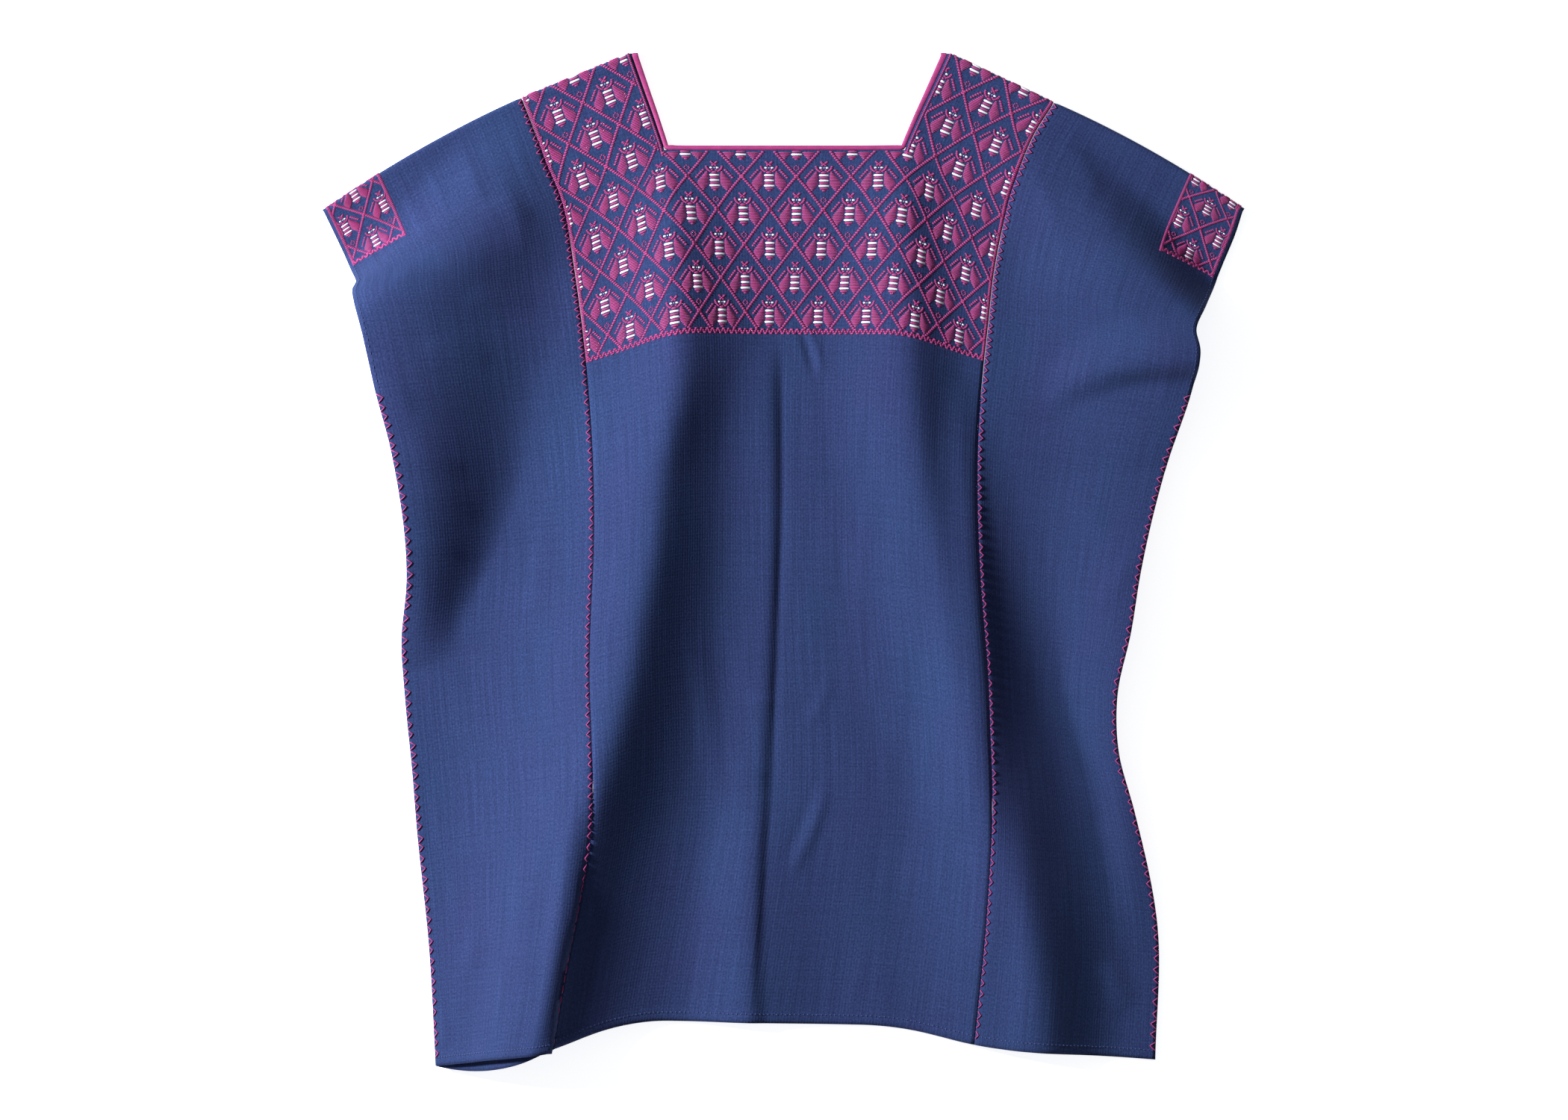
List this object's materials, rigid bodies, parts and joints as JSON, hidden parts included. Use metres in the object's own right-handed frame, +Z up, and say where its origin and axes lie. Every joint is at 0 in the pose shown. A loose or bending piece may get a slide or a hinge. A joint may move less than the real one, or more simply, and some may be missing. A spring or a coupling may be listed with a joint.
{
  "type": "huipil laid flat",
  "caption": "Wide sleeveless huipil tunic of three joined indigo webs with a square bound neck, laid flat on its back with soft folds, to be worn or shown.",
  "frame": {"origin": "middle of the bounding box on the surface that the garment lies on", "axes": "+X to the right of the picture, which is the wearer's left, +Y from the hem to the shoulders, +Z up out of the front of the garment"},
  "size_m": [0.7622, 0.8376, 0.0459],
  "materials": {
    "indigo_cloth": "matt hand-woven cotton in plain weave",
    "magenta_thread": "soft twisted cotton with a slight sheen",
    "white_thread": "soft twisted cotton"
  },
  "bodies": {
    "root": {"centre_panel": "indigo_cloth", "side_panel_left": "indigo_cloth", "side_panel_right": "indigo_cloth", "neck_binding": "magenta_thread"}
  },
  "joints": []
}
